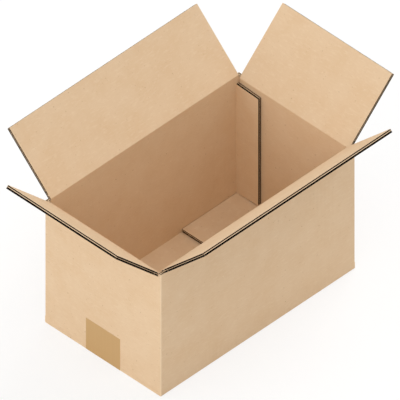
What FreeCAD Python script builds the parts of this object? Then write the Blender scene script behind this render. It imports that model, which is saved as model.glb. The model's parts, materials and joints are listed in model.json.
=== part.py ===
import FreeCAD, Part
import os
import Sketcher

# Open slotted carton of double wall corrugated board, with its bottom taped shut and its four top
# flaps standing open. Millimetres. The origin is the middle of the face it stands on, +Z is up,
# X runs along the length. The tape passes under the board, so its underside is the floor plane.

doc = FreeCAD.newDocument("OpenCarton")
dims = doc.addObject("Spreadsheet::Sheet", "Dims")

DRIVING_DIMENSIONS = [
    ("box_length", 276.0, "outside of the short wall to outside of the other"),
    ("box_width", 163.0, "outside of the long wall to outside of the other"),
    ("wall_height", 160.5, "underside of the board to the crease of the long flaps"),
    ("board", 4.0, "thickness of the double wall board"),
    ("liner", 0.4, "thickness of each of the three flat liners"),
    ("flute_depth", 2.2, "how far the flute rows lie open behind a cut edge"),
    ("fold_radius", 1.0, "outside radius of a pressed fold"),
    ("joint_radius", 1.6, "outside radius of the fold that carries the glue tab"),
    ("crease_gap", 0.15, "half the play between the two sides of a flap's crease"),
    ("lay_gap", 0.2, "air between two layers that lie on each other"),
    ("slot_gap", 0.5, "play between a flap's side and the wall beside it"),
    ("seam_gap", 0.8, "gap between the two long flaps where they meet"),
    ("flap_lean", 45.0, "degrees from upright that the open flaps stand at"),
    ("tab_reach", 31.0, "how far the glue tab shows past the inside corner"),
    ("tab_drop", 1.6, "taper of the glue tab's top and bottom over its reach"),
    ("tape_width", 48.0, "width of the packing tape"),
    ("tape_rise", 41.0, "height that the tape climbs on each short wall"),
    ("tape_film", 0.1, "thickness of the tape"),
]
for row, (alias, value, note) in enumerate(DRIVING_DIMENSIONS, start=1):
    dims.set("A%d" % row, alias)
    dims.set("B%d" % row, "%g" % value)
    dims.set("C%d" % row, note)
    dims.setAlias("B%d" % row, alias)
doc.recompute()

# Places that several pieces share, as expressions on the sheet.
HALF_LENGTH = "Dims.box_length / 2"
HALF_WIDTH = "Dims.box_width / 2"
INNER_HALF_LENGTH = "(Dims.box_length / 2 - Dims.board)"
INNER_HALF_WIDTH = "(Dims.box_width / 2 - Dims.board)"
# The long flaps lie over the short ones, so their creases sit one board further out.
LAYER_STEP = "(Dims.board + Dims.lay_gap)"
UNDERSIDE = "Dims.tape_film"
SHORT_FOLD = "(Dims.tape_film + %s)" % LAYER_STEP
FLOOR_TOP = "(Dims.tape_film + Dims.board * 2 + Dims.lay_gap)"
LONG_CREASE = "(Dims.tape_film + Dims.wall_height)"
SHORT_CREASE = "(Dims.tape_film + Dims.wall_height - %s)" % LAYER_STEP
# The sheet's cut edge is one straight line, so a flap whose crease is lower is longer by that step.
LONG_FLAP_REACH = "(Dims.box_width / 2 - Dims.seam_gap / 2)"
SHORT_FLAP_REACH = "(Dims.box_width / 2 - Dims.seam_gap / 2 + %s)" % LAYER_STEP
LONG_FLAP_SPAN = "(Dims.box_length - 2 * Dims.board - 2 * Dims.slot_gap)"
SHORT_FLAP_SPAN = "(Dims.box_width - 2 * Dims.board - 2 * Dims.slot_gap)"
# The board is liner, flutes, liner, flutes, liner.
FLUTE_ROW = "((Dims.board - 3 * Dims.liner) / 2)"
FLUTE_ROW_MIDDLES = (
    "(Dims.liner + (Dims.board - 3 * Dims.liner) / 4)",
    "(Dims.board - Dims.liner - (Dims.board - 3 * Dims.liner) / 4)",
)
# Air that a cutting outline may reach into past the material it removes.
SPARE = "(Dims.board / 2)"


def new_body(name):
    body = doc.addObject("PartDesign::Body", name)
    body.Label = name
    return body


def origin_plane(body, role):
    return [plane for plane in body.Origin.OriginFeatures if plane.Role == role][0]


def sketch_outline(body, name, role, corners, plane_offset=None):
    """Closed outline through corners, each an (x, y) or (x, y, radius) of sheet expressions."""
    sketch = body.newObject("Sketcher::SketchObject", name)
    sketch.AttachmentSupport = [(origin_plane(body, role), "")]
    sketch.MapMode = "FlatFace"
    if plane_offset:
        sketch.setExpression("AttachmentOffset.Base.z", plane_offset)
    add_outline(sketch, corners)
    return sketch


def add_outline(sketch, corners):
    points = [
        FreeCAD.Vector(sketch.evalExpression(c[0]), sketch.evalExpression(c[1]), 0) for c in corners
    ]
    starts, ends = [], []
    arcs = {}
    count = len(corners)
    for index, corner in enumerate(corners):
        point = points[index]
        if len(corner) == 2:
            starts.append(point)
            ends.append(point)
            continue
        # A rounded corner between two sides that run along the sketch's axes.
        radius = sketch.evalExpression(corner[2])
        back = (points[index - 1] - point).normalize()
        ahead = (points[(index + 1) % count] - point).normalize()
        centre = point + (back + ahead) * radius
        starts.append(point + back * radius)
        ends.append(point + ahead * radius)
        normal = FreeCAD.Vector(0, 0, 1)
        circle = Part.Circle(centre, normal, radius)
        angles = [circle.parameter(starts[-1]), circle.parameter(ends[-1])]
        counter_clockwise = (back.cross(ahead)).z < 0
        if not counter_clockwise:
            angles.reverse()
        arc = Part.ArcOfCircle(circle, angles[0], angles[1])
        arcs[index] = (sketch.addGeometry(arc, False), counter_clockwise, back + ahead, back)
    lines = []
    for index in range(count):
        segment = Part.LineSegment(ends[index], starts[(index + 1) % count])
        lines.append(sketch.addGeometry(segment, False))
    for index, corner in enumerate(corners):
        line_in, line_out = lines[index - 1], lines[index]
        if index not in arcs:
            sketch.addConstraint(Sketcher.Constraint("Coincident", line_in, 2, line_out, 1))
            bind_point(sketch, line_out, 1, corner[0], corner[1])
            continue
        arc, counter_clockwise, inward, back = arcs[index]
        first, last = (1, 2) if counter_clockwise else (2, 1)
        sketch.addConstraint(Sketcher.Constraint("Coincident", line_in, 2, arc, first))
        sketch.addConstraint(Sketcher.Constraint("Coincident", line_out, 1, arc, last))
        sign_x = "+" if inward.x > 0 else "-"
        sign_y = "+" if inward.y > 0 else "-"
        centre_x = "%s %s %s" % (corner[0], sign_x, corner[2])
        centre_y = "%s %s %s" % (corner[1], sign_y, corner[2])
        bind_point(sketch, arc, 3, centre_x, centre_y)
        came_upright = abs(back.y) > 0.5
        level, upright = (first, last) if came_upright else (last, first)
        sketch.addConstraint(Sketcher.Constraint("Horizontal", arc, 3, arc, level))
        sketch.addConstraint(Sketcher.Constraint("Vertical", arc, 3, arc, upright))
        radius = sketch.evalExpression(corner[2])
        bound = sketch.addConstraint(Sketcher.Constraint("Radius", arc, radius))
        sketch.setExpression("Constraints[%d]" % bound, corner[2])


def bind_point(sketch, geometry, point, x_expression, y_expression):
    for kind, expression in (("DistanceX", x_expression), ("DistanceY", y_expression)):
        value = sketch.evalExpression(expression)
        constraint = Sketcher.Constraint(kind, -1, 1, geometry, point, value)
        bound = sketch.addConstraint(constraint)
        sketch.setExpression("Constraints[%d]" % bound, expression)


def pad(body, name, sketch, length, symmetric=False):
    feature = body.newObject("PartDesign::Pad", name)
    feature.Profile = sketch
    feature.SideType = "Symmetric" if symmetric else "One side"
    feature.setExpression("Length", length)
    doc.recompute()
    return feature


def pocket(body, name, sketch, length):
    """Cut as far to one side of the sketch as to the other, and make sure that it cuts."""
    before = body.Shape.Volume
    feature = body.newObject("PartDesign::Pocket", name)
    feature.Profile = sketch
    feature.SideType = "Symmetric"
    feature.setExpression("Length", length)
    doc.recompute()
    if body.Shape.Volume >= before:
        raise RuntimeError("%s removes nothing" % name)
    return feature


def mirrored(corners):
    """The same outline on the other side of the upright axis."""
    return [("-(%s)" % corner[0],) + tuple(corner[1:]) for corner in corners]


# One sheet, folded: four walls, the glue tab and the four taped bottom flaps.
carton = new_body("carton_body")

wall_outline = sketch_outline(carton, "WallOutline", "XY_Plane", [
    ("-" + HALF_LENGTH, "-" + HALF_WIDTH, "Dims.fold_radius"),
    (HALF_LENGTH, "-" + HALF_WIDTH, "Dims.fold_radius"),
    (HALF_LENGTH, HALF_WIDTH),
    ("-" + HALF_LENGTH, HALF_WIDTH, "Dims.fold_radius"),
], SHORT_FOLD)
add_outline(wall_outline, [
    ("-" + INNER_HALF_LENGTH, "-" + INNER_HALF_WIDTH),
    (INNER_HALF_LENGTH, "-" + INNER_HALF_WIDTH),
    (INNER_HALF_LENGTH, INNER_HALF_WIDTH),
    ("-" + INNER_HALF_LENGTH, INNER_HALF_WIDTH),
])
pad(carton, "Walls", wall_outline, "%s - %s" % (LONG_CREASE, SHORT_FOLD))

# The long bottom flaps are the outer layer and carry the box.
long_bottom_section = [
    ("Dims.seam_gap / 2", UNDERSIDE),
    (HALF_WIDTH, UNDERSIDE, "Dims.fold_radius"),
    (HALF_WIDTH, FLOOR_TOP),
    (INNER_HALF_WIDTH, FLOOR_TOP),
    (INNER_HALF_WIDTH, "Dims.tape_film + Dims.board"),
    ("Dims.seam_gap / 2", "Dims.tape_film + Dims.board"),
]
for side, corners in (("Back", long_bottom_section), ("Front", mirrored(long_bottom_section))):
    section = sketch_outline(carton, side + "BottomSection", "YZ_Plane", corners)
    pad(carton, side + "BottomFlap", section, "Dims.box_length", symmetric=True)

# The short bottom flaps lie on them, inside.
short_bottom_section = [
    ("%s - %s" % (HALF_LENGTH, SHORT_FLAP_REACH), SHORT_FOLD),
    (HALF_LENGTH, SHORT_FOLD),
    (HALF_LENGTH, FLOOR_TOP),
    ("%s - %s" % (HALF_LENGTH, SHORT_FLAP_REACH), FLOOR_TOP),
]
for side, corners in (("Right", short_bottom_section), ("Left", mirrored(short_bottom_section))):
    section = sketch_outline(carton, side + "BottomSection", "XZ_Plane", corners)
    pad(carton, side + "BottomFlap", section, SHORT_FLAP_SPAN, symmetric=True)

# The glue tab comes round the back right corner and is glued inside the right wall.
TAB_EDGE = "(%s - Dims.tab_reach)" % INNER_HALF_WIDTH
TAB_FOOT = "(%s + Dims.lay_gap)" % FLOOR_TOP
TAB_HEAD = "(%s - Dims.board - Dims.lay_gap - Dims.crease_gap)" % SHORT_CREASE
tab_outline = sketch_outline(carton, "TabOutline", "YZ_Plane", [
    (TAB_EDGE, "%s + Dims.tab_drop" % TAB_FOOT),
    ("%s + %s" % (INNER_HALF_WIDTH, SPARE), TAB_FOOT),
    ("%s + %s" % (INNER_HALF_WIDTH, SPARE), TAB_HEAD),
    (TAB_EDGE, "%s - Dims.tab_drop" % TAB_HEAD),
], "%s - Dims.board" % INNER_HALF_LENGTH)
pad(carton, "GlueTab", tab_outline, "Dims.board")

# Mitred creases: a closed flap drops between the wall tops, with its outer liner as the hinge.
def crease_cut(side_name, role, half_span, crease, length):
    corners = [
        ("-(%s + %s)" % (half_span, SPARE), "%s - Dims.crease_gap + %s" % (crease, SPARE)),
        ("-(%s - Dims.board)" % half_span, "%s - Dims.crease_gap - Dims.board" % crease),
        ("%s - Dims.board" % half_span, "%s - Dims.crease_gap - Dims.board" % crease),
        ("%s + %s" % (half_span, SPARE), "%s - Dims.crease_gap + %s" % (crease, SPARE)),
        ("%s + %s" % (half_span, SPARE), "%s + %s" % (LONG_CREASE, SPARE)),
        ("-(%s + %s)" % (half_span, SPARE), "%s + %s" % (LONG_CREASE, SPARE)),
    ]
    section = sketch_outline(carton, side_name + "CreaseSection", role, corners)
    pocket(carton, side_name + "Creases", section, length)


crease_cut("Long", "YZ_Plane", HALF_WIDTH, LONG_CREASE, "Dims.box_length - 2 * Dims.board")
crease_cut("Short", "XZ_Plane", HALF_LENGTH, SHORT_CREASE, "Dims.box_width - 2 * Dims.board")

# Outside, the long back wall turns in to the tab, and the right wall ends in a cut edge beside it.
joint_notch = sketch_outline(carton, "JointNotch", "XY_Plane", [
    ("%s - Dims.joint_radius" % INNER_HALF_LENGTH, HALF_WIDTH),
    (INNER_HALF_LENGTH, "%s - Dims.joint_radius" % HALF_WIDTH),
    (INNER_HALF_LENGTH, "%s + %s" % (HALF_WIDTH, SPARE)),
    ("%s - Dims.joint_radius" % INNER_HALF_LENGTH, "%s + %s" % (HALF_WIDTH, SPARE)),
], LONG_CREASE)
pocket(carton, "GlueJoint", joint_notch, "2 * Dims.wall_height + 2 * Dims.board")

# Where the board is cut, its two flute rows lie open.
for number, middle in enumerate(FLUTE_ROW_MIDDLES, start=1):
    row_low = "%s - %s / 2" % (middle, FLUTE_ROW)
    row_high = "%s + %s / 2" % (middle, FLUTE_ROW)
    short_edge = "%s - %s" % (HALF_LENGTH, SHORT_FLAP_REACH)
    short_row = [
        ("%s - %s" % (short_edge, SPARE), "%s + %s" % (SHORT_FOLD, row_low)),
        ("%s + Dims.flute_depth" % short_edge, "%s + %s" % (SHORT_FOLD, row_low)),
        ("%s + Dims.flute_depth" % short_edge, "%s + %s" % (SHORT_FOLD, row_high)),
        ("%s - %s" % (short_edge, SPARE), "%s + %s" % (SHORT_FOLD, row_high)),
    ]
    name = "ShortBottomFlutes%d" % number
    short_rows = sketch_outline(carton, name + "Section", "XZ_Plane", short_row)
    add_outline(short_rows, mirrored(short_row))
    pocket(carton, name, short_rows, SHORT_FLAP_SPAN)

    long_row = [
        ("-Dims.seam_gap / 2 - Dims.flute_depth", "%s + %s" % (UNDERSIDE, row_low)),
        ("Dims.seam_gap / 2 + Dims.flute_depth", "%s + %s" % (UNDERSIDE, row_low)),
        ("Dims.seam_gap / 2 + Dims.flute_depth", "%s + %s" % (UNDERSIDE, row_high)),
        ("-Dims.seam_gap / 2 - Dims.flute_depth", "%s + %s" % (UNDERSIDE, row_high)),
    ]
    name = "LongBottomFlutes%d" % number
    long_rows = sketch_outline(carton, name + "Section", "YZ_Plane", long_row)
    pocket(carton, name, long_rows, "Dims.box_length - 2 * Dims.board")

    name = "TabFlutes%d" % number
    tab_row = sketch_outline(carton, name + "Outline", "YZ_Plane", [
        ("%s - %s" % (TAB_EDGE, SPARE), TAB_FOOT + " + Dims.tab_drop"),
        ("%s + Dims.flute_depth" % TAB_EDGE, TAB_FOOT + " + Dims.tab_drop"),
        ("%s + Dims.flute_depth" % TAB_EDGE, TAB_HEAD + " - Dims.tab_drop - Dims.flute_depth"),
        ("%s - Dims.board" % INNER_HALF_WIDTH, TAB_HEAD + " - Dims.flute_depth"),
        ("%s - Dims.board" % INNER_HALF_WIDTH, TAB_HEAD + " + " + SPARE),
        ("%s - %s" % (TAB_EDGE, SPARE), TAB_HEAD + " + " + SPARE),
    ], "%s - Dims.board + %s" % (INNER_HALF_LENGTH, middle))
    pocket(carton, name, tab_row, FLUTE_ROW)


# The four top flaps. Each is drawn flat, with its crease along X through its own origin, its outer
# face at z = 0 and its free edge towards +Y, and is then turned up to its wall.
def top_flap(name, reach, span, crease, wall_x, wall_y, turn):
    flap = new_body(name)
    board_section = sketch_outline(flap, name + "_section", "YZ_Plane", [
        ("Dims.crease_gap", "0"),
        (reach, "0"),
        (reach, "Dims.board"),
        ("Dims.crease_gap + Dims.board", "Dims.board"),
    ])
    pad(flap, name + "_board", board_section, span, symmetric=True)
    # The crease is pressed flat, so the open flute rows stop short of it.
    rows_start = "(Dims.crease_gap + 2 * Dims.board)"
    for number, middle in enumerate(FLUTE_ROW_MIDDLES, start=1):
        outer_side = "(%s / 2 + %s)" % (span, SPARE)
        inner_side = "(%s / 2 - Dims.flute_depth)" % span
        row_outline = sketch_outline(flap, "%s_flutes%d_outline" % (name, number), "XY_Plane", [
            ("-" + outer_side, rows_start),
            ("-" + inner_side, rows_start),
            ("-" + inner_side, reach + " - Dims.flute_depth"),
            (inner_side, reach + " - Dims.flute_depth"),
            (inner_side, rows_start),
            (outer_side, rows_start),
            (outer_side, "%s + %s" % (reach, SPARE)),
            ("-" + outer_side, "%s + %s" % (reach, SPARE)),
        ], middle)
        pocket(flap, "%s_flutes%d" % (name, number), row_outline, FLUTE_ROW)
    seat = "vector(%s; %s; %s)" % (wall_x, wall_y, crease)
    turned = "rotationz(%d) * rotationx(90 - Dims.flap_lean)" % turn
    flap.setExpression("Placement", "placement(%s; %s)" % (seat, turned))
    return flap


long_flap = (LONG_FLAP_REACH, LONG_FLAP_SPAN, LONG_CREASE)
short_flap = (SHORT_FLAP_REACH, SHORT_FLAP_SPAN, SHORT_CREASE)
pieces = [
    carton,
    top_flap("back_flap", *long_flap, "0", HALF_WIDTH, 0),
    top_flap("front_flap", *long_flap, "0", "-" + HALF_WIDTH, 180),
    top_flap("right_flap", *short_flap, HALF_LENGTH, "0", -90),
    top_flap("left_flap", *short_flap, "-" + HALF_LENGTH, "0", 90),
]

# One strip of tape closes the bottom seam and climbs both short walls.
tape = new_body("bottom_tape")
tape_section = sketch_outline(tape, "TapeSection", "XZ_Plane", [
    ("-(%s + Dims.tape_film)" % HALF_LENGTH, "0"),
    ("%s + Dims.tape_film" % HALF_LENGTH, "0"),
    ("%s + Dims.tape_film" % HALF_LENGTH, "Dims.tape_rise"),
    (HALF_LENGTH, "Dims.tape_rise"),
    (HALF_LENGTH, UNDERSIDE),
    ("-" + HALF_LENGTH, UNDERSIDE),
    ("-" + HALF_LENGTH, "Dims.tape_rise"),
    ("-(%s + Dims.tape_film)" % HALF_LENGTH, "Dims.tape_rise"),
])
pad(tape, "TapeStrip", tape_section, "Dims.tape_width", symmetric=True)
pieces.append(tape)

doc.recompute()

for item in doc.Objects:
    if "Invalid" in item.State or "Error" in item.State:
        raise RuntimeError("%s failed: %s" % (item.Name, item.State))
os.makedirs("parts", exist_ok=True)
for piece in pieces:
    shape = piece.Shape
    if shape.isNull() or not shape.isValid() or len(shape.Solids) != 1:
        raise RuntimeError("%s has no sound shape" % piece.Label)
for piece in pieces:
    piece.Shape.exportStep("parts/%s.step" % piece.Label)
    box = piece.Shape.BoundBox
    reach = (box.XMin, box.XMax, box.YMin, box.YMax, box.ZMin, box.ZMax)
    print("%-12s %9.1f mm3" % (piece.Label, piece.Shape.Volume))
    print("    x %.2f %.2f  y %.2f %.2f  z %.2f %.2f" % reach)
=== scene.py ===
import json
import math
import bpy
import bmesh
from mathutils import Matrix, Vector


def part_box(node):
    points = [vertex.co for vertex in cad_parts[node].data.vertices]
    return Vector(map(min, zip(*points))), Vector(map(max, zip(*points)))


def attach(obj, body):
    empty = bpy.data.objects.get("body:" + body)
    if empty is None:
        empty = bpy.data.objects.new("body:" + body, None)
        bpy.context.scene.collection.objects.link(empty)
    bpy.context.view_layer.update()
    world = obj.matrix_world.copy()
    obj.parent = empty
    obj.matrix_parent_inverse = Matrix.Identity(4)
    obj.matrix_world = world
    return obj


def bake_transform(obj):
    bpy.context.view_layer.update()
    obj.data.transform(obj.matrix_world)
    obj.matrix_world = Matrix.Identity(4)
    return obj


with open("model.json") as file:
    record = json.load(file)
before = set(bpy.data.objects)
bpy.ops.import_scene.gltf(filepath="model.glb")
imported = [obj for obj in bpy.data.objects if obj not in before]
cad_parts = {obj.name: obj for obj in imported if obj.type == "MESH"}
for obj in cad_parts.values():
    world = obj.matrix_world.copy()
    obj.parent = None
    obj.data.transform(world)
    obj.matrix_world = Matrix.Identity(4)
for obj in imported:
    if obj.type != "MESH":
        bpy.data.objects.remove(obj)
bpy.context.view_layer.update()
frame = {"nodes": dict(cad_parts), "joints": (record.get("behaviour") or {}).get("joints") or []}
print("stage: frame loaded with", len(frame["nodes"]), "nodes")

mm = 0.001
up = Vector((0, 0, 1))

# The five ply board, from its outer face inwards: liner, wide flutes, liner, narrow flutes, liner.
board = {
    "thickness": 4.0 * mm,
    "liner": 0.4 * mm,
    "wideFlute": 5.3 * mm,  # from crest to crest in the outer row
    "wideMedium": 0.16 * mm,  # the fluted paper itself
    "narrowFlute": 3.9 * mm,  # from crest to crest in the inner row
    "narrowMedium": 0.24 * mm,
    "showDepth": 0.32 * mm,  # how far the flutes are lit behind a cut edge, where the painted shade sits
    "inset": 0.07 * mm,  # the fluted paper is cut this much short of the liners
    "stepsPerFlute": 12,
}
flap = {
    "names": ["back_flap", "front_flap", "right_flap", "left_flap"],
    "lean": math.radians(45),  # from upright, as the flaps stand open
    "pressed": 8.15 * mm,  # the crease is rolled flat up to here
    "creasePlay": 0.27 * mm,  # the rows stay this far off the hinge, to clear the wall when closed
}


def toLinear(hexColour, alpha=1.0):
    # an sRGB hex colour as the linear one that the shaders read
    parts = [int(hexColour[i:i + 2], 16) / 255 for i in (1, 3, 5)]
    linear = [c / 12.92 if c <= 0.04045 else ((c + 0.055) / 1.055) ** 2.4 for c in parts]
    return linear + [alpha]


def addNode(tree, kind, settings=None, inputs=None, links=None):
    # one node with its settings, its socket values and the links that come into it
    node = tree.nodes.new(kind)
    node.location = (220 * len(tree.nodes), 0)
    for name, value in (settings or {}).items():
        setattr(node, name, value)
    for name, value in (inputs or {}).items():
        node.inputs[name].default_value = value
    for name, (source, output) in (links or {}).items():
        tree.links.new(source.outputs[output], node.inputs[name])
    return node


def newMaterial(name):
    material = bpy.data.materials.new(name)
    material.use_nodes = True
    material.node_tree.nodes.clear()
    return material, material.node_tree


# Unbleached kraft liner, machine made paper glued over the flutes: matt, warm brown, with cloudy
# formation, stray dark and pale fibres, and a faint washboard from the flutes under it.
kraftLook = {
    "sheet": "#E2C5A2",
    "cloud": "#DFC09B",
    "cloudSize": 26.0,  # mm
    "cloudRange": (0.38, 0.66),  # noise below it is plain sheet, noise above it all cloud
    "paleFibre": "#EFD9BC",
    "fibreWidth": 1.3,  # mm, true fibres are far finer and wouldn't show
    "fibreLength": 7.0,  # mm
    "fibreRange": (0.52, 0.75),
    "fibreStrength": 0.4,
    "darkFibre": "#96683F",
    "flecks": [  # spacing and radius in mm
        {"spacing": 8.0, "radius": 0.55, "strength": 0.6, "colour": "darkFibre"},
        {"spacing": 3.6, "radius": 0.385, "strength": 0.35, "colour": "darkFibre"},
        {"spacing": 9.5, "radius": 0.55, "strength": 0.9, "colour": "paleFibre"},
    ],
    "fleckCore": 0.4,  # share of the radius that has the full strength
    "fleckWobble": 1.6,  # mm, bends the flecks out of round
    "foldHighlight": "#EAD0AE",  # painted highlight along a sharp fold
    "highlightFrom": 1.1,  # mm in from both outer faces
    "highlightFull": 0.3,  # mm
    "fluteSpacing": 5.3,  # mm from one washboard ridge to the next
    "ridgeShare": 0.35,  # height of the ridges beside the fibres'
    "bumpHeight": 0.045,  # mm
    "roughness": 0.84,
    "ior": 1.47,  # cellulose
    "specular": 0.3,
}


def shaderValues(look):
    return {"Roughness": look["roughness"], "IOR": look["ior"], "Specular IOR Level": look["specular"]}


def kraftMaterial(look, halfLength, halfWidth):
    material, tree = newMaterial("kraftLinerMachineMade")
    place = addNode(tree, "ShaderNodeTexCoord")
    toMm = addNode(tree, "ShaderNodeMapping", None, {"Scale": (1 / mm, 1 / mm, 1 / mm)},
                   {"Vector": (place, "Object")})
    cloud = addNode(tree, "ShaderNodeTexNoise", None,
                    {"Scale": 1 / look["cloudSize"], "Detail": 4.0, "Roughness": 0.6},
                    {"Vector": (toMm, "Vector")})
    cloudShare = addNode(tree, "ShaderNodeMapRange", None,
                         {"From Min": look["cloudRange"][0], "From Max": look["cloudRange"][1]},
                         {"Value": (cloud, "Fac")})
    sheet = addNode(tree, "ShaderNodeMix", {"data_type": "RGBA"},
                    {6: toLinear(look["sheet"]), 7: toLinear(look["cloud"])},
                    {0: (cloudShare, "Result")})

    # fibres lie along the sheet, which runs round the box
    fibreScale = (1 / look["fibreLength"], 1 / look["fibreLength"], 1 / look["fibreWidth"])
    along = addNode(tree, "ShaderNodeMapping", None, {"Scale": fibreScale},
                    {"Vector": (toMm, "Vector")})
    fibre = addNode(tree, "ShaderNodeTexNoise", None, {"Scale": 1.0, "Detail": 3.0, "Roughness": 0.7},
                    {"Vector": (along, "Vector")})
    fibreShare = addNode(tree, "ShaderNodeMapRange", None,
                         {"From Min": look["fibreRange"][0], "From Max": look["fibreRange"][1],
                          "To Max": look["fibreStrength"]}, {"Value": (fibre, "Fac")})
    fibred = addNode(tree, "ShaderNodeMix", {"data_type": "RGBA"}, {7: toLinear(look["paleFibre"])},
                     {0: (fibreShare, "Result"), 6: (sheet, 2)})

    # dark flecks of bark and pale ones of bleached fibre, each of its own strength
    wobble = addNode(tree, "ShaderNodeTexNoise", None, {"Scale": 0.8, "Detail": 1.0},
                     {"Vector": (toMm, "Vector")})
    bent = addNode(tree, "ShaderNodeVectorMath", {"operation": "MULTIPLY_ADD"},
                   {1: [look["fleckWobble"]] * 3}, {0: (wobble, "Color"), 2: (toMm, "Vector")})
    colour = fibred
    for plan in look["flecks"]:
        cells = addNode(tree, "ShaderNodeTexVoronoi", None, {"Scale": 1 / plan["spacing"]},
                        {"Vector": (bent, "Vector")})
        reach, core = plan["radius"] / plan["spacing"], look["fleckCore"]
        fleck = addNode(tree, "ShaderNodeMapRange", None,
                        {"From Min": core * reach, "From Max": (1 + core) * reach,
                         "To Min": plan["strength"], "To Max": 0.0}, {"Value": (cells, "Distance")})
        own = addNode(tree, "ShaderNodeSeparateColor", None, None, {"Color": (cells, "Color")})
        share = addNode(tree, "ShaderNodeMath", {"operation": "MULTIPLY"}, None,
                        {0: (fleck, "Result"), 1: (own, "Red")})
        colour = addNode(tree, "ShaderNodeMix", {"data_type": "RGBA"},
                         {7: toLinear(look[plan["colour"]])}, {0: (share, "Value"), 6: (colour, 2)})

    # painted highlight on the upright folds: close to both outer faces at once
    parts = addNode(tree, "ShaderNodeSeparateXYZ", None, None, {"Vector": (toMm, "Vector")})
    nearFaces = []
    for axis, half in (("X", halfLength / mm), ("Y", halfWidth / mm)):
        size = addNode(tree, "ShaderNodeMath", {"operation": "ABSOLUTE"}, None, {0: (parts, axis)})
        highlightReach = {"From Min": half - look["highlightFrom"], "From Max": half - look["highlightFull"]}
        nearFaces.append(addNode(tree, "ShaderNodeMapRange", {"interpolation_type": "SMOOTHSTEP"},
                                 highlightReach, {"Value": (size, "Value")}))
    paintedHighlight = addNode(tree, "ShaderNodeMath", {"operation": "MULTIPLY"}, None,
                   {0: (nearFaces[0], "Result"), 1: (nearFaces[1], "Result")})
    colour = addNode(tree, "ShaderNodeMix", {"data_type": "RGBA"}, {7: toLinear(look["foldHighlight"])},
                     {0: (paintedHighlight, "Value"), 6: (colour, 2)})

    # washboard: ridges stand upright, so they are counted along the wall
    facing = addNode(tree, "ShaderNodeSeparateXYZ", None, None, {"Vector": (place, "Normal")})
    endWall = addNode(tree, "ShaderNodeMath", {"operation": "ABSOLUTE"}, None, {0: (facing, "X")})
    isEndWall = addNode(tree, "ShaderNodeMath", {"operation": "GREATER_THAN"}, {1: 0.5},
                        {0: (endWall, "Value")})
    alongWall = addNode(tree, "ShaderNodeMix", None, None,
                        {0: (isEndWall, "Value"), 2: (parts, "X"), 3: (parts, "Y")})
    phase = addNode(tree, "ShaderNodeMath", {"operation": "MULTIPLY"},
                    {1: 2 * math.pi / look["fluteSpacing"]}, {0: (alongWall, 0)})
    ridge = addNode(tree, "ShaderNodeMath", {"operation": "SINE"}, None, {0: (phase, "Value")})
    ridgeAndFibre = addNode(tree, "ShaderNodeMath", {"operation": "MULTIPLY_ADD"},
                            {1: look["ridgeShare"]}, {0: (ridge, "Value"), 2: (fibre, "Fac")})
    bump = addNode(tree, "ShaderNodeBump", None,
                   {"Strength": 1.0, "Distance": look["bumpHeight"] * mm},
                   {"Height": (ridgeAndFibre, "Value")})
    shader = addNode(tree, "ShaderNodeBsdfPrincipled", None, shaderValues(look),
                     {"Base Color": (colour, 2), "Normal": (bump, "Normal")})
    addNode(tree, "ShaderNodeOutputMaterial", None, None, {"Surface": (shader, "BSDF")})
    return material


# Fluting: rough recycled paper, steamed and rolled wavy. Darker and greyer than the liners, and
# darkened further by painted shade of the rows it lies in.
flutingLook = {
    "paper": "#453120",
    "shade": "#261A10",
    "paintedFluteShade": "#070402",  # painted shade: the flutes run deep behind the cut edge and stay dark
    "deepestPaintedShade": "#030201",
    "grain": 0.8,  # mm
    "roughness": 0.9,
    "ior": 1.47,
    "specular": 0.05,
}


def flutingMaterial(look, name, dark, light):
    material, tree = newMaterial(name)
    place = addNode(tree, "ShaderNodeTexCoord")
    grain = addNode(tree, "ShaderNodeTexNoise", None,
                    {"Scale": 1 / (look["grain"] * mm), "Detail": 2.0}, {"Vector": (place, "Object")})
    colour = addNode(tree, "ShaderNodeMix", {"data_type": "RGBA"},
                     {6: toLinear(dark), 7: toLinear(light)}, {0: (grain, "Fac")})
    shader = addNode(tree, "ShaderNodeBsdfPrincipled", None, shaderValues(look),
                     {"Base Color": (colour, 2)})
    addNode(tree, "ShaderNodeOutputMaterial", None, None, {"Surface": (shader, "BSDF")})
    return material


# Packing tape: polypropylene film, stretched and coated buff. Smoother than the board, with faint
# lengthwise draw lines.
tapeLook = {
    "film": "#C29C68",
    "thin": "#C7A26E",
    "drawLine": 1.7,  # mm across one draw line
    "drawLength": 60.0,  # mm
    "drawHeight": 0.01,  # mm
    "roughness": 0.46,
    "ior": 1.49,  # polypropylene
    "specular": 0.4,
}


def tapeMaterial(look):
    material, tree = newMaterial("polypropyleneFilmBuff")
    place = addNode(tree, "ShaderNodeTexCoord")
    longScale, wideScale = 1 / (look["drawLength"] * mm), 1 / (look["drawLine"] * mm)
    drawn = addNode(tree, "ShaderNodeMapping", None, {"Scale": (longScale, wideScale, longScale)},
                    {"Vector": (place, "Object")})
    lines = addNode(tree, "ShaderNodeTexNoise", None, {"Scale": 1.0, "Detail": 3.0},
                    {"Vector": (drawn, "Vector")})
    colour = addNode(tree, "ShaderNodeMix", {"data_type": "RGBA"},
                     {6: toLinear(look["film"]), 7: toLinear(look["thin"])}, {0: (lines, "Fac")})
    bump = addNode(tree, "ShaderNodeBump", None,
                   {"Strength": 1.0, "Distance": look["drawHeight"] * mm}, {"Height": (lines, "Fac")})
    shader = addNode(tree, "ShaderNodeBsdfPrincipled", None, shaderValues(look),
                     {"Base Color": (colour, 2), "Normal": (bump, "Normal")})
    addNode(tree, "ShaderNodeOutputMaterial", None, None, {"Surface": (shader, "BSDF")})
    return material


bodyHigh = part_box("carton_body")[1]
kraft = kraftMaterial(kraftLook, bodyHigh.x, bodyHigh.y)
fluting = flutingMaterial(flutingLook, "flutingPaperAndShade", flutingLook["shade"], flutingLook["paper"])
paintedFluteShade = flutingMaterial(flutingLook, "flutingPaperInShade", flutingLook["deepestPaintedShade"],
                         flutingLook["paintedFluteShade"])
tapeFilm = tapeMaterial(tapeLook)
print("stage: materials made")

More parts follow.
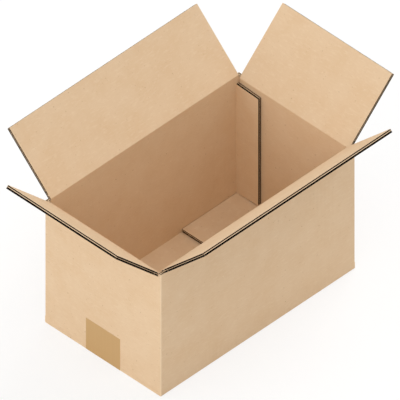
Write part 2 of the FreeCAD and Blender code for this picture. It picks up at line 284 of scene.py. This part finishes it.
for nodeName, material, slotName in (
    [("carton_body", kraft, "kraft_board"), ("bottom_tape", tapeFilm, "packing_tape")]
    + [(name, kraft, "kraft_board") for name in flap["names"]]
):
    node = frame["nodes"][nodeName]
    node.data.materials.clear()
    node.data.materials.append(material)


# On a cut edge the rows' painted shade reaches a little over the liners' edges beside them, and the
# middle liner's edge is spread, so the rows show a little off the slots they lie in. Distances are from
# the board's outer face.
slotThickness = (board["thickness"] - 3 * board["liner"]) / 2
fluteRows = [
    {
        "slot": (board["liner"], board["liner"] + slotThickness),
        "across": (0.05 * mm, 2.02 * mm),  # as seen where the cut runs across the flutes
        "along": (0.05 * mm, 2.02 * mm),  # and where it runs along them
        "pitch": board["wideFlute"],
        "medium": board["wideMedium"],
    },
    {
        "slot": (2 * board["liner"] + slotThickness, board["thickness"] - board["liner"]),
        "across": (2.72 * mm, 3.90 * mm),
        "along": (2.36 * mm, 3.90 * mm),
        "pitch": board["narrowFlute"],
        "medium": board["narrowMedium"],
    },
]


def middleAndWidth(span):
    return (span[0] + span[1]) / 2, span[1] - span[0]


def buildMesh(name, corners, faces, materials, faceMaterials=None):
    mesh = bpy.data.meshes.new(name)
    mesh.from_pydata([tuple(c) for c in corners], [], faces)
    for material in materials:
        mesh.materials.append(material)
    if faceMaterials:
        mesh.polygons.foreach_set("material_index", faceMaterials)
    work = bmesh.new()
    work.from_mesh(mesh)
    bmesh.ops.recalc_face_normals(work, faces=work.faces)
    work.to_mesh(mesh)
    work.free()
    piece = bpy.data.objects.new(name, mesh)
    bpy.context.scene.collection.objects.link(piece)
    return piece


edgeLook = {
    "endMargin": 0.4 * mm,
    "relief": 0.04 * mm,  # painted shade of the rows of rolled flutes, this much proud of the edge
    "creasedShare": 0.72,  # how much of its width a row keeps where the crease is rolled
    "cornerShare": 0.45,  # and on the folded corners' tops
    "drift": 0.3 * mm,  # a cut along the flutes never runs quite true to them
    "driftLength": 46 * mm,
    "rowShift": 2.1,  # radians between the drifts of the two rows
    "straightStep": 4 * mm,
    "behind": 0.1 * mm,  # half the thickness of the painted shade behind a row
    "lap": 0.02 * mm,  # how far neighbouring marks reach over each other
    "linerProud": 0.048 * mm,  # the middle liner's cut edge is spread a little proud
}

# Places in a piece's list of materials: its own paper, the painted shade, and the cut edge of a liner.
ownPlace, paintedShadePlace, linerPlace = 0, 1, 2


def newShape():
    return {"corners": [], "faces": [], "materials": []}


def closeRibbon(shape, start, count, materialIndex):
    # joins sets of four corners, laid one after the other, into one closed ribbon
    loop = (0, 1, 3, 2)
    for i in range(count - 1):
        for j in range(4):
            a, b = start + 4 * i + loop[j], start + 4 * i + loop[(j + 1) % 4]
            shape["faces"].append((a, b, b + 4, a + 4))
            shape["materials"].append(materialIndex)
    for end in (start, start + 4 * (count - 1)):
        shape["faces"].append(tuple(end + k for k in loop))
        shape["materials"].append(materialIndex)


def addPaintedRowShade(shape, points, widths, normal, mitre=None):
    # painted shade of a row of rolled flutes, laid on a cut edge; with a mitre, its start slants 45
    # degrees so that it begins later the further it lies in the mitre's direction
    start = len(shape["corners"])
    count = len(points)
    for i, point in enumerate(points):
        ahead = points[min(i + 1, count - 1)] - points[max(i - 1, 0)]
        sideways = normal.cross(ahead).normalized()
        for lift in (-edgeLook["relief"], edgeLook["relief"]):
            for hand in (-0.5, 0.5):
                across = sideways * (widths[i] * hand)
                slant = Vector((0, 0, 0))
                if mitre and i == 0:
                    slant = ahead.normalized() * across.dot(mitre)
                shape["corners"].append(point + normal * lift + across + slant)
    closeRibbon(shape, start, count, paintedShadePlace)


def flapPlace(name):
    # where a flap stands: its hinge line's middle and the directions of the board there
    joint = [j for j in frame["joints"] if j["child"] == name][0]
    hinge = Vector(joint["pos_m"])
    outward = Vector((hinge.x, hinge.y, 0)).normalized()
    along = outward.cross(up)
    low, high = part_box(name)
    reachOut = max(abs(c.dot(outward)) for c in (low, high)) - Vector((hinge.x, hinge.y, 0)).length
    return {
        "body": name,
        "hinge": hinge,
        "outward": outward,
        "along": along,
        "run": outward * math.sin(flap["lean"]) + up * math.cos(flap["lean"]),
        "inward": up * math.sin(flap["lean"]) - outward * math.cos(flap["lean"]),
        "reach": reachOut / math.sin(flap["lean"]),
        "halfSpan": abs((high - low).dot(along)) / 2,
    }


places = {name: flapPlace(name) for name in flap["names"]}

# The inner liner bends round each crease in one sweep. It follows the wall on one side and the
# flap on the other, and closes the mitre between them.
crease = {
    "arcSteps": 10,
    "overlap": 0.8 * mm,  # how far it runs on under the liners beside it
    "proud": 0.03 * mm,  # the scored liner stands up by a paper's fuzz
    "sideGap": 0.06 * mm,
    "blunt": 0.08 * mm,  # taken off the sharp inner corner
}


def buildCrease(name, place):
    thick = board["thickness"] + crease["proud"]
    tail = board["thickness"] + crease["overlap"]
    corner = thick / math.cos(flap["lean"] / 2) - crease["blunt"]
    arc = []
    for step in range(crease["arcSteps"] + 1):
        turn = flap["lean"] * step / crease["arcSteps"]
        radius = min(corner, thick / math.cos(min(turn, flap["lean"] - turn)))
        arc.append(place["outward"] * (-radius * math.cos(turn)) + up * (radius * math.sin(turn)))
    wallSide = [place["outward"] * -thick - up * tail]
    flapSide = [place["inward"] * thick + place["run"] * tail]
    outline = [Vector((0, 0, 0))] + wallSide + arc + flapSide
    halfSpan = place["halfSpan"] - crease["sideGap"]
    shape = newShape()
    for side in (-1, 1):
        end = place["along"] * (side * halfSpan)
        shape["corners"] += [place["hinge"] + offset + end for offset in outline]
    count = len(outline)
    shape["faces"] = [(i, (i + 1) % count, (i + 1) % count + count, i + count) for i in range(count)]
    for start in (0, count):
        shape["faces"] += [(start, start + i, start + i + 1) for i in range(1, count - 1)]
    shape["materials"] = [ownPlace] * len(shape["faces"])
    # painted shade of both rows round each end of the crease
    for side in (-1, 1):
        cap = place["hinge"] + place["along"] * (side * halfSpan)
        for row in fluteRows:
            middle, width = middleAndWidth(row["along"])
            points = []
            for step in range(crease["arcSteps"] + 1):
                turn = math.pi / 2 * step / crease["arcSteps"]
                points.append(cap - place["outward"] * (middle * math.cos(turn))
                              + up * (middle * math.sin(turn)))
            widths = [width * edgeLook["creasedShare"]] * len(points)
            addPaintedRowShade(shape, points, widths, place["along"] * side)
    piece = buildMesh(name, shape["corners"], shape["faces"], [kraft, paintedFluteShade], shape["materials"])
    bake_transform(piece)


for name in flap["names"]:
    buildCrease(name.replace("flap", "crease"), places[name])
print("stage: creases bent")


# The two rows of flutes that lie open along every cut edge. An edge has the corner that it starts
# from on the outer face, its own direction, the way through the board and the way into it, its
# length, and the margin that is left bare at both ends.
def addStrip(shape, points, thickness, through, into):
    # a closed ribbon: its middle line through points, as thick as the paper, going into the board
    start = len(shape["corners"])
    for point in points:
        for depth in (board["inset"], board["showDepth"]):
            for side in (-0.5, 0.5):
                shape["corners"].append(point + into * depth + through * (thickness * side))
    closeRibbon(shape, start, len(points), ownPlace)


def addSlab(shape, edge, depths, sides, materialIndex):
    # a thin closed slab along an edge, between two depths and two distances from the outer face
    start = len(shape["corners"])
    for along in (edge["margin"], edge["length"] - edge["margin"]):
        for depth in depths:
            for side in sides:
                shape["corners"].append(edge["corner"] + edge["direction"] * along
                                        + edge["into"] * depth + edge["through"] * side)
    for quad in ((0, 1, 3, 2), (4, 5, 7, 6), (0, 1, 5, 4), (2, 3, 7, 6), (0, 2, 6, 4), (1, 3, 7, 5)):
        shape["faces"].append(tuple(start + k for k in quad))
        shape["materials"].append(materialIndex)


def addCutFace(shape, edge, cut):
    # painted shade behind each row and over the liners' edges beside it, and the middle liner's cut
    # edge spread proud
    shallow = (-edgeLook["relief"], edgeLook["relief"])
    deep = (board["showDepth"] - edgeLook["behind"], board["showDepth"] + edgeLook["behind"])
    lap = edgeLook["lap"]
    for row in fluteRows:
        low, high = row["slot"]
        addSlab(shape, edge, deep, (low + lap, high - lap), paintedShadePlace)
        if row[cut][0] < low:
            addSlab(shape, edge, shallow, (row[cut][0], low + lap), paintedShadePlace)
        if row[cut][1] > high:
            addSlab(shape, edge, shallow, (high - lap, row[cut][1]), paintedShadePlace)
    between = (fluteRows[0][cut][1], fluteRows[1][cut][0])
    addSlab(shape, edge, (-edgeLook["linerProud"], board["inset"]), between, linerPlace)


def addWaves(shape, edge):
    # a cut across the flutes shows their waves
    for row in fluteRows:
        low, high = max(row["slot"][0], row["across"][0]), min(row["slot"][1], row["across"][1])
        middle, swing = (low + high) / 2, (high - low - row["medium"]) / 2
        step = row["pitch"] / board["stepsPerFlute"]
        points = []
        for i in range(int((edge["length"] - 2 * edge["margin"]) / step) + 1):
            along = edge["margin"] + i * step
            rise = swing * math.sin(2 * math.pi * along / row["pitch"])
            points.append(edge["corner"] + edge["direction"] * along
                          + edge["through"] * (middle + rise))
        addStrip(shape, points, row["medium"], edge["through"], edge["into"])
    addCutFace(shape, edge, "across")


def addStraights(shape, edge):
    # a cut along the flutes meets the fluted paper in one long line
    for number, row in enumerate(fluteRows):
        low, high = max(row["slot"][0], row["along"][0]), min(row["slot"][1], row["along"][1])
        count = max(2, int((edge["length"] - 2 * edge["margin"]) / edgeLook["straightStep"]))
        points = []
        for i in range(count + 1):
            along = edge["margin"] + (edge["length"] - 2 * edge["margin"]) * i / count
            phase = 2 * math.pi * along / edgeLook["driftLength"] + number * edgeLook["rowShift"]
            rise = edgeLook["drift"] * math.sin(phase)
            points.append(edge["corner"] + edge["direction"] * along
                          + edge["through"] * ((low + high) / 2 + rise))
        addStrip(shape, points, row["medium"], edge["through"], edge["into"])
    addCutFace(shape, edge, "along")


def finishFlutes(name, shape, body):
    piece = buildMesh(name, shape["corners"], shape["faces"], [fluting, paintedFluteShade, kraft],
                      shape["materials"])
    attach(piece, body)


for name in flap["names"]:
    place = places[name]
    shape = newShape()
    tip = place["hinge"] + place["run"] * place["reach"]
    addWaves(shape, {
        "corner": tip - place["along"] * place["halfSpan"],
        "direction": place["along"],
        "through": place["inward"],
        "into": -place["run"],
        "length": 2 * place["halfSpan"],
        "margin": edgeLook["endMargin"],
    })
    for side in (-1, 1):
        sideRoot = place["hinge"] + place["along"] * (side * place["halfSpan"])
        addStraights(shape, {
            "corner": sideRoot + place["run"] * flap["pressed"],
            "direction": place["run"],
            "through": place["inward"],
            "into": place["along"] * -side,
            "length": place["reach"] - flap["pressed"],
            "margin": edgeLook["endMargin"],
        })
        # beside the crease the rows are rolled flat, and their painted shade runs on to it
        for row in fluteRows:
            middle, width = middleAndWidth(row["along"])
            start = sideRoot + place["inward"] * middle
            ends = [start + place["run"] * (flap["creasePlay"] + middle),
                    start + place["run"] * flap["pressed"]]
            addPaintedRowShade(shape, ends, [width * edgeLook["creasedShare"], width],
                       place["along"] * side, place["inward"])
    finishFlutes(name.replace("flap", "flap_flutes"), shape, name)

# Between two flaps the slot ends on the folded corner, whose cut top shows both rows round the bend,
# drawn as painted shade.
shape = newShape()
for cornerX in (-bodyHigh.x, bodyHigh.x):
    for cornerY in (-bodyHigh.y, bodyHigh.y):
        towards = Vector((-math.copysign(1, cornerX), -math.copysign(1, cornerY), 0))
        for row in fluteRows:
            middle, width = middleAndWidth(row["along"])
            width *= edgeLook["cornerShare"]
            bend = Vector((cornerX, cornerY, bodyHigh.z)) + towards * middle
            left = board["thickness"] - middle
            points = [bend + Vector((0, towards.y * left, 0)), bend,
                      bend + Vector((towards.x * left, 0, 0))]
            addPaintedRowShade(shape, points, [width, width * math.sqrt(2), width], up)
finishFlutes("corner_row_shade", shape, "carton")

# The short bottom flaps' ends show inside the box, one board above the long ones.
bottom = {
    "film": 0.1 * mm,  # the tape that the box stands on
    "air": 0.2 * mm,  # between two layers of board
}
shortFold = bottom["film"] + board["thickness"] + bottom["air"]
halfFlapSpan = places["right_flap"]["halfSpan"]
shape = newShape()
for side in (-1, 1):
    edgeX = side * (bodyHigh.x - places["right_flap"]["reach"])
    addWaves(shape, {
        "corner": Vector((edgeX, -halfFlapSpan, shortFold)),
        "direction": Vector((0, 1, 0)),
        "through": up,
        "into": Vector((side, 0, 0)),
        "length": 2 * halfFlapSpan,
        "margin": edgeLook["endMargin"],
    })
finishFlutes("bottom_flap_flutes", shape, "carton")

# The glue tab's slanted top shows waves, its upright edge one line in each row.
tab = {
    "reach": 31.0 * mm,  # how far it shows past the corner
    "drop": 1.6 * mm,  # taper of its top and of its foot
    "headGap": 0.35 * mm,  # play under a closed flap
}
floorTop = shortFold + board["thickness"]
tabInner = bodyHigh.x - 2 * board["thickness"]
tabRoot = bodyHigh.y - board["thickness"]
tabHead = places["right_flap"]["hinge"].z - board["thickness"] - tab["headGap"]
tabFoot = floorTop + bottom["air"] + tab["drop"]
shape = newShape()
slant = Vector((0, tab["reach"], tab["drop"]))
addWaves(shape, {
    "corner": Vector((tabInner, tabRoot - tab["reach"], tabHead - tab["drop"])),
    "direction": slant.normalized(),
    "through": Vector((1, 0, 0)),
    "into": -up,
    "length": slant.length - board["thickness"],
    "margin": 0.0,
})
# the last bit, in the corner's fold, is rolled flat, and its rows are painted shade
for row in fluteRows:
    middle, width = middleAndWidth(row["across"])
    root = Vector((tabInner + middle, tabRoot, tabHead))
    addPaintedRowShade(shape, [root - slant.normalized() * board["thickness"], root], [width, width], up)
addStraights(shape, {
    "corner": Vector((tabInner, tabRoot - tab["reach"], tabFoot)),
    "direction": up,
    "through": Vector((1, 0, 0)),
    "into": Vector((0, 1, 0)),
    "length": tabHead - tab["drop"] - tabFoot,
    "margin": edgeLook["endMargin"],
})
finishFlutes("glue_tab_flutes", shape, "carton")

# Outside, the right wall ends beside the tab's fold, and its two rows show there as painted shade
# from the floor to the crease.
shape = newShape()
for row in fluteRows:
    middle, width = middleAndWidth(row["along"])
    width *= edgeLook["creasedShare"]
    points = [Vector((bodyHigh.x - middle, bodyHigh.y, height))
              for height in (floorTop, bodyHigh.z - board["thickness"])]
    addPaintedRowShade(shape, points, [width, width], Vector((0, 1, 0)))
finishFlutes("glue_joint_row_shade", shape, "carton")
print("stage: flutes laid in the cut edges")


# A white floor, even daylight all round and five broad soft lamps, three of them low.
studio = {
    "floorSize": 5.0,
    "floorColour": "#FFFFFF",
    "skyColour": "#FFFFFF",
    "bounceColour": "#F0F0F0",  # what the floor throws back at the box
    "skyStrength": 0.50,
    "ownWhite": 0.70,  # how much of the floor's white the camera sees whatever falls on it
    "lampSpread": math.radians(50),
}
lamps = {
    "highRight": {"from": (0.64, 0.00, 0.77), "strength": 1.10},
    "highLeft": {"from": (-0.45, -0.45, 0.77), "strength": 0.70},
    "lowLeft": {"from": (-0.94, 0.00, 0.34), "strength": 0.53},
    "lowBackLeft": {"from": (-0.66, 0.66, 0.34), "strength": 0.58},
    "lowBackRight": {"from": (0.66, 0.66, 0.34), "strength": 0.26},
}
floorMesh = bpy.data.meshes.new("floor")
half = studio["floorSize"] / 2
floorCorners = [(-half, -half, 0), (half, -half, 0), (half, half, 0), (-half, half, 0)]
floorMesh.from_pydata(floorCorners, [], [(0, 1, 2, 3)])
floor = bpy.data.objects.new("floor", floorMesh)
bpy.context.scene.collection.objects.link(floor)
paper, tree = newMaterial("studioPaperMatt")
rays = addNode(tree, "ShaderNodeLightPath")
sheetColour = addNode(tree, "ShaderNodeMix", {"data_type": "RGBA"},
                      {6: toLinear(studio["bounceColour"]), 7: toLinear(studio["floorColour"])},
                      {0: (rays, "Is Camera Ray")})
lit = addNode(tree, "ShaderNodeBsdfDiffuse", None, None, {"Color": (sheetColour, 2)})
own = addNode(tree, "ShaderNodeEmission", None, {"Color": (1, 1, 1, 1), "Strength": 1.0})
share = addNode(tree, "ShaderNodeMath", {"operation": "MULTIPLY"}, {1: studio["ownWhite"]},
                {0: (rays, "Is Camera Ray")})
seen = addNode(tree, "ShaderNodeMixShader", None, None,
               {0: (share, "Value"), 1: (lit, "BSDF"), 2: (own, "Emission")})
addNode(tree, "ShaderNodeOutputMaterial", None, None, {"Surface": (seen, "Shader")})
floorMesh.materials.append(paper)

world = bpy.data.worlds.new("daylight")
bpy.context.scene.world = world
world.use_nodes = True
tree = world.node_tree
tree.nodes.clear()
rays = addNode(tree, "ShaderNodeLightPath")
plainLight = addNode(tree, "ShaderNodeBackground", None,
                     {"Color": toLinear(studio["skyColour"]), "Strength": studio["skyStrength"]})
white = addNode(tree, "ShaderNodeBackground", None, {"Color": (1, 1, 1, 1), "Strength": 1.0})
seen = addNode(tree, "ShaderNodeMixShader", None, None,
               {0: (rays, "Is Camera Ray"), 1: (plainLight, "Background"), 2: (white, "Background")})
addNode(tree, "ShaderNodeOutputWorld", None, None, {"Surface": (seen, "Shader")})

for name, plan in lamps.items():
    lampData = bpy.data.lights.new(name, "SUN")
    lampData.energy = plan["strength"]
    lampData.angle = studio["lampSpread"]
    lamp = bpy.data.objects.new(name, lampData)
    lamp.rotation_euler = Vector(plan["from"]).to_track_quat("Z", "Y").to_euler()
    bpy.context.scene.collection.objects.link(lamp)

# The view is drawn without perspective, from 45 degrees round and 41 degrees up.
cameraPlan = {
    "azimuth": math.radians(-45.363),
    "elevation": math.radians(40.88),
    "widthSeen": 0.400,  # metres across the frame, one millimetre to a pixel
    "aimAbove": 0.0952,  # how far up the picture the middle lies from the origin
    "distance": 2.0,
    "clipEnd": 20.0,
}
azimuth, elevation = cameraPlan["azimuth"], cameraPlan["elevation"]
back = Vector((math.sin(azimuth) * math.cos(elevation), -math.cos(azimuth) * math.cos(elevation),
               math.sin(elevation)))
right = Vector((math.cos(azimuth), math.sin(azimuth), 0))
cameraUp = back.cross(right)
cameraData = bpy.data.cameras.new("camera")
cameraData.type = "ORTHO"
cameraData.ortho_scale = cameraPlan["widthSeen"]
cameraData.clip_end = cameraPlan["clipEnd"]
camera = bpy.data.objects.new("camera", cameraData)
camera.location = cameraUp * cameraPlan["aimAbove"] + back * cameraPlan["distance"]
camera.rotation_euler = back.to_track_quat("Z", "Y").to_euler()
bpy.context.scene.collection.objects.link(camera)
bpy.context.scene.camera = camera
bpy.context.scene.view_settings.view_transform = "Standard"
print("stage: floor, light and camera set")
